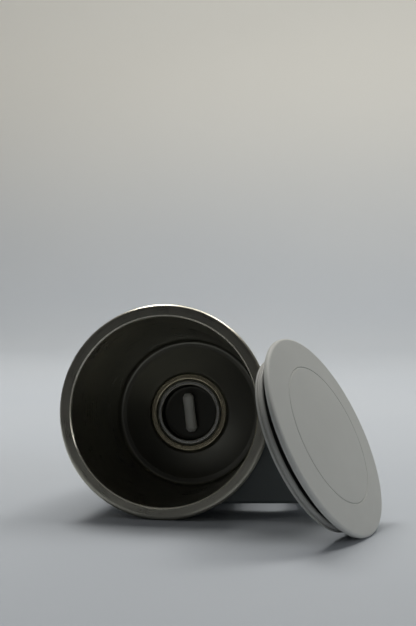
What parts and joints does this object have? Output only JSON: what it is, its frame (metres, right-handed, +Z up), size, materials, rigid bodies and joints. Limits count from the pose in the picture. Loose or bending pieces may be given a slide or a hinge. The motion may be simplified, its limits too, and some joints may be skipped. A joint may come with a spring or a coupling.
{
  "type": "self-stirring travel cup",
  "caption": "Tapered steel-lined cup with a drop-shaped handle and a magnetic stirring drive in its base, lying on its side, with its plug lid off and leaning against the handle.",
  "frame": {"origin": "middle of the bottom of the whole object's box, on the surface that the cup lies on", "axes": "+Z up; -Y the way the mouth faces, with the cup's axis in the YZ plane; +X the side where the handle and the lid are"},
  "size_m": [0.1265, 0.1605, 0.0832],
  "materials": {
    "brushed_rim": "fine brushed, satin",
    "bowl_steel": "dark satin",
    "shell_plastic": "satin",
    "cover_plastic": "matte",
    "inner_plastic": "matte",
    "dark_silicone": "matte",
    "cell_jacket": "gloss",
    "plated_steel": "bright",
    "board": "gloss",
    "motor_can": "satin",
    "bronze": "satin",
    "magnet": "bright",
    "capsule_plastic": "matte",
    "lid_plastic": "matte",
    "lid_silicone": "matte"
  },
  "bodies": {
    "cup": {"liner": "bowl_steel", "rim_collar": "brushed_rim", "rim_gasket": "dark_silicone", "outer_shell": "shell_plastic", "foot_ring": "dark_silicone", "battery_tray": "inner_plastic", "batteries": "cell_jacket", "contacts": "plated_steel", "circuit_board": "board", "motor": "motor_can", "motor_plate": "inner_plastic", "shaft_bush": "bronze", "screws": "plated_steel", "handle": "shell_plastic", "push_switch": "inner_plastic"},
    "rotor": {"motor_shaft": "plated_steel", "drive_rotor": "inner_plastic", "rotor_magnets": "magnet"},
    "capsule": {"stir_capsule": "capsule_plastic", "capsule_magnet": "magnet"},
    "button": {"power_button": "cover_plastic"},
    "cover": {"base_cover": "cover_plastic", "cover_gasket": "dark_silicone"},
    "lid": {"lid_cap": "lid_plastic", "lid_seal": "lid_silicone", "lid_inner": "lid_plastic"}
  },
  "joints": [
    {"name": "rotor_spin", "type": "hinge", "parent": "cup", "child": "rotor", "pos_m": [-0.02136, 0.07674, 0.02878], "axis": [0, -0.9924, 0.1229], "continuous": true},
    {"name": "capsule_lift_out", "type": "slide", "parent": "rotor", "child": "capsule", "axis": [0, -0.9924, 0.1229], "range_m": [0, 0.06]},
    {"name": "button_press", "type": "slide", "parent": "cup", "child": "button", "axis": [0, 0.9924, -0.1229], "range_m": [0, 0.0012], "stiffness_N_per_m": 800, "springref_m": -0.0006},
    {"name": "cover_twist", "type": "hinge", "parent": "cup", "child": "cover", "pos_m": [-0.02136, 0.07674, 0.02878], "axis": [0, -0.9924, 0.1229], "range_deg": [0, 53.5]},
    {"name": "lid_draw_off", "type": "slide", "parent": "cup", "child": "lid", "axis": [0.972, -0.2351, 0], "range_m": [0, 0.12]}
  ]
}
